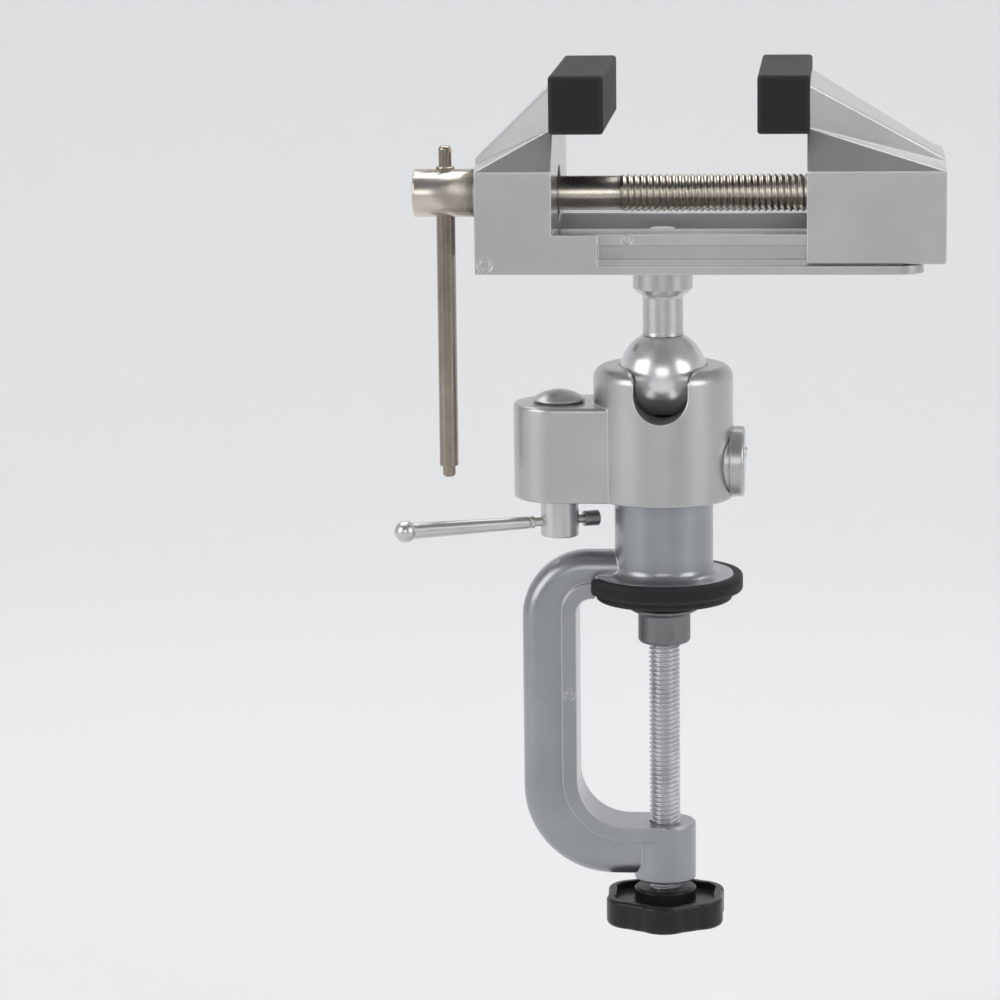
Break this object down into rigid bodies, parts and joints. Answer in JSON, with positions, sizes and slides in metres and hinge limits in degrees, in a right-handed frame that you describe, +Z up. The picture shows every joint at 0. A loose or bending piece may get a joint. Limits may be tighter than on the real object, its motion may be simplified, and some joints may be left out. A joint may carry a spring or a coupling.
{
  "type": "ball vise",
  "caption": "Small table vise with rubber-faced jaws on a lockable ball joint, held to a bench edge by a cast C-clamp with a hand knob.",
  "frame": {"origin": "centre of the bench pad's underside, where the bench top meets it", "axes": "+Z up the post and the clamp screw, +X towards the moving jaw, -Y to the front where the neck notch is"},
  "size_m": [0.1731, 0.075, 0.278],
  "materials": {
    "cast_lacquer": "die-cast, silver lacquer, satin",
    "black_rubber": "matt moulded rubber",
    "spring_steel": "spring steel, dark",
    "turned_steel": "turned steel, bright",
    "zinc_steel": "zinc plated",
    "black_plastic": "moulded plastic, glossy",
    "nylon": "dark engineering plastic",
    "bronze": "sintered bronze",
    "cap_metal": "pressed cap, satin",
    "polished_steel": "polished and chrome plated",
    "nickel_steel": "nickel plated, warm"
  },
  "bodies": {
    "clamp": {"clamp_frame": "cast_lacquer", "bench_pad": "black_rubber", "post_ring": "spring_steel"},
    "shoe": {"clamp_shoe": "turned_steel", "shoe_ring": "spring_steel"},
    "clamp_spindle": {"clamp_screw": "zinc_steel", "clamp_knob": "black_plastic"},
    "housing": {"socket_housing": "cast_lacquer", "ball_seat": "nylon", "lock_bush": "bronze", "side_cap": "cap_metal", "adjuster_cap": "cap_metal", "adjuster_screw": "turned_steel", "drag_plug": "nylon"},
    "lock": {"lock_spindle": "polished_steel"},
    "plunger": {"lock_plunger": "turned_steel"},
    "lever": {"lock_lever": "polished_steel", "lever_end_cap": "turned_steel"},
    "ball": {"ball": "polished_steel"},
    "head": {"ball_stem": "polished_steel", "stem_nut": "zinc_steel", "fixed_jaw": "cast_lacquer", "jaw_pad_fixed": "black_rubber", "screw_washer": "nickel_steel"},
    "screw": {"jaw_screw": "nickel_steel", "screw_clip": "spring_steel"},
    "bar": {"tommy_bar": "nickel_steel"},
    "slider": {"moving_jaw": "cast_lacquer", "jaw_nut": "bronze", "jaw_pad_moving": "black_rubber"}
  },
  "joints": [
    {"name": "swivel", "type": "hinge", "parent": "clamp", "child": "housing", "pos_m": [0, 0, 0.04], "axis": [0, 0, 1], "continuous": true},
    {"name": "clamp_travel", "type": "slide", "parent": "clamp", "child": "shoe", "axis": [0, 0, 1], "range_m": [-0.0594, 0.0023]},
    {"name": "clamp_turn", "type": "hinge", "parent": "shoe", "child": "clamp_spindle", "pos_m": [0, 0, -0.05], "axis": [0, 0, 1], "range_deg": [-14290, 590]},
    {"name": "lock_turn", "type": "hinge", "parent": "housing", "child": "lock", "pos_m": [-0.0334, 0, 0.03], "axis": [0, 0, 1], "range_deg": [-85, 0]},
    {"name": "plunger_push", "type": "slide", "parent": "housing", "child": "plunger", "axis": [1, 0, 0], "range_m": [0, 0.0006]},
    {"name": "lever_slide", "type": "slide", "parent": "lock", "child": "lever", "axis": [-0.9245, -0.3811, 0], "range_m": [-0.0024, 0.0017]},
    {"name": "ball_tilt", "type": "hinge", "parent": "housing", "child": "ball", "pos_m": [0, 0, 0.0731], "axis": [1, 0, 0], "range_deg": [-40, 90]},
    {"name": "head_spin", "type": "hinge", "parent": "ball", "child": "head", "pos_m": [0, 0, 0.0731], "axis": [0, 0, 1], "continuous": true},
    {"name": "jaw_turn", "type": "hinge", "parent": "head", "child": "screw", "pos_m": [0, 0, 0.1308], "axis": [1, 0, 0], "range_deg": [-3060, 8455]},
    {"name": "jaw_slide", "type": "slide", "parent": "head", "child": "slider", "axis": [1, 0, 0], "range_m": [-0.047, 0.0171]},
    {"name": "bar_slide", "type": "slide", "parent": "screw", "child": "bar", "axis": [0, 0, 1], "range_m": [0, 0.08]}
  ],
  "couplings": [
    {"joint": "clamp_turn", "follows": "clamp_travel", "rad_per_m": 4188.8},
    {"joint": "jaw_slide", "follows": "jaw_turn", "m_per_rad": -0.00031831},
    {"joint": "plunger_push", "follows": "lock_turn", "m_per_rad": -0.00040417}
  ]
}
